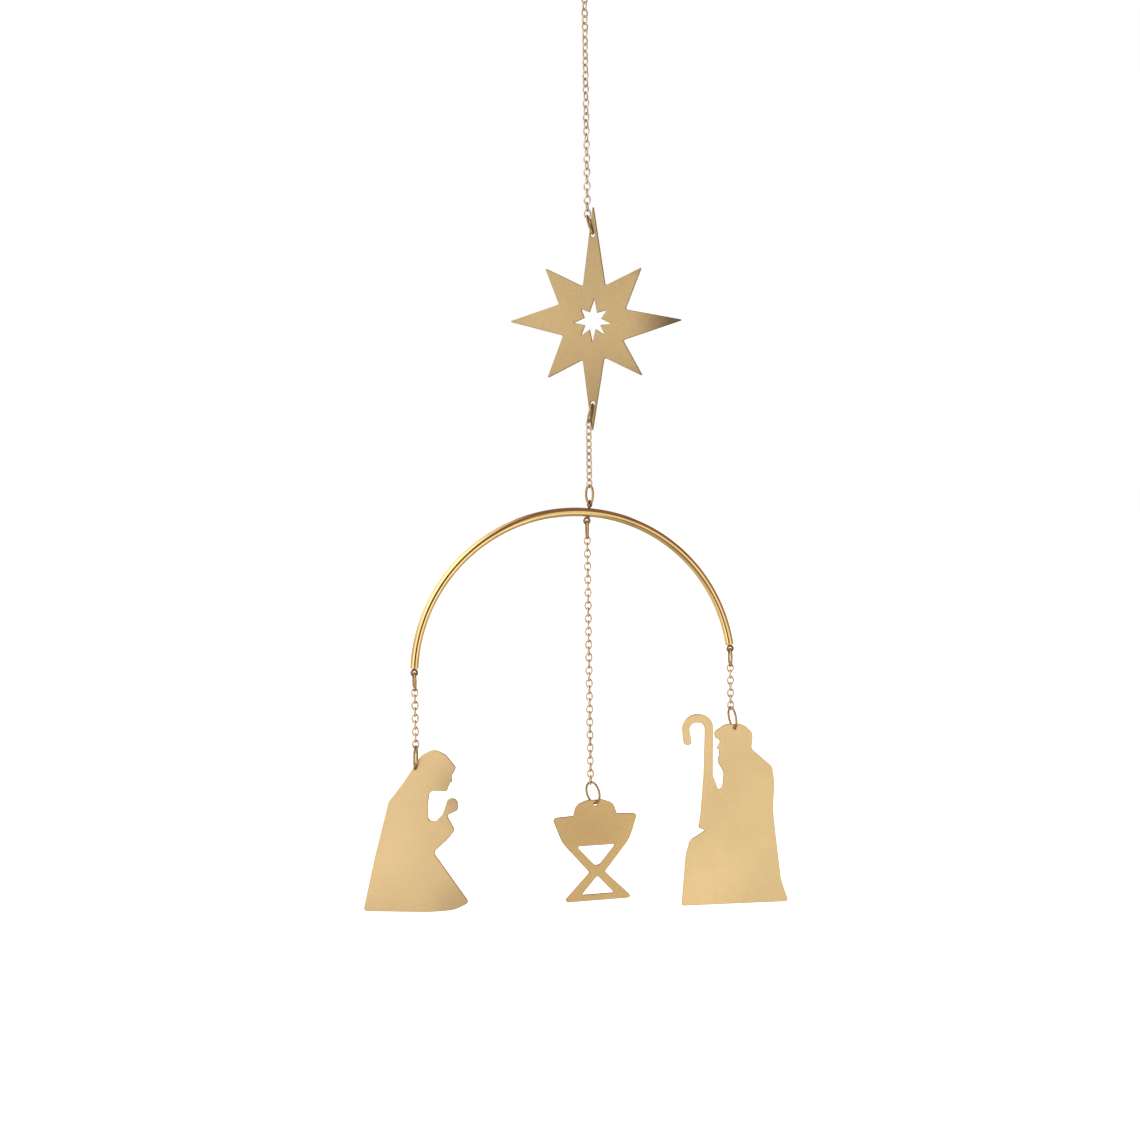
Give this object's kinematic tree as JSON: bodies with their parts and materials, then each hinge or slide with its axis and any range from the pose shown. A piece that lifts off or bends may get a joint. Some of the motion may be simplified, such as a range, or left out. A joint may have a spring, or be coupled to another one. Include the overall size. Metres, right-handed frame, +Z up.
{
  "type": "hanging mobile",
  "caption": "Brass hanging mobile: a cut-out star on a chain, an arched tube below it, and flat kneeling, standing and crib figures hung from the arch on fine chains.",
  "frame": {"origin": "inside top of the hanging ring, the point that rests on the hook that holds the mobile up", "axes": "+Z up along the top chain, the front faces -Y, +X to the viewer's right"},
  "size_m": [0.1717, 0.0333, 0.3783],
  "materials": {
    "sheet": "satin, fine grain",
    "tube": "polished",
    "wire": "polished wire"
  },
  "bodies": {
    "root": {"hanging_ring": "wire", "top_chain": "wire", "star_upper_ring": "wire", "star": "sheet", "star_lower_ring": "wire", "star_to_arch_chain": "wire", "arch_upper_ring": "wire", "centre_eye": "wire", "left_end_eye": "wire", "right_end_eye": "wire", "arch_tube": "tube", "centre_chain_ring": "wire", "centre_chain": "wire", "crib_ring": "wire", "crib": "sheet", "left_chain_ring": "wire", "left_chain": "wire", "kneeling_figure_ring": "wire", "kneeling_figure": "sheet", "right_chain_ring": "wire", "right_chain": "wire", "standing_figure_ring": "wire", "standing_figure": "sheet"}
  },
  "joints": []
}
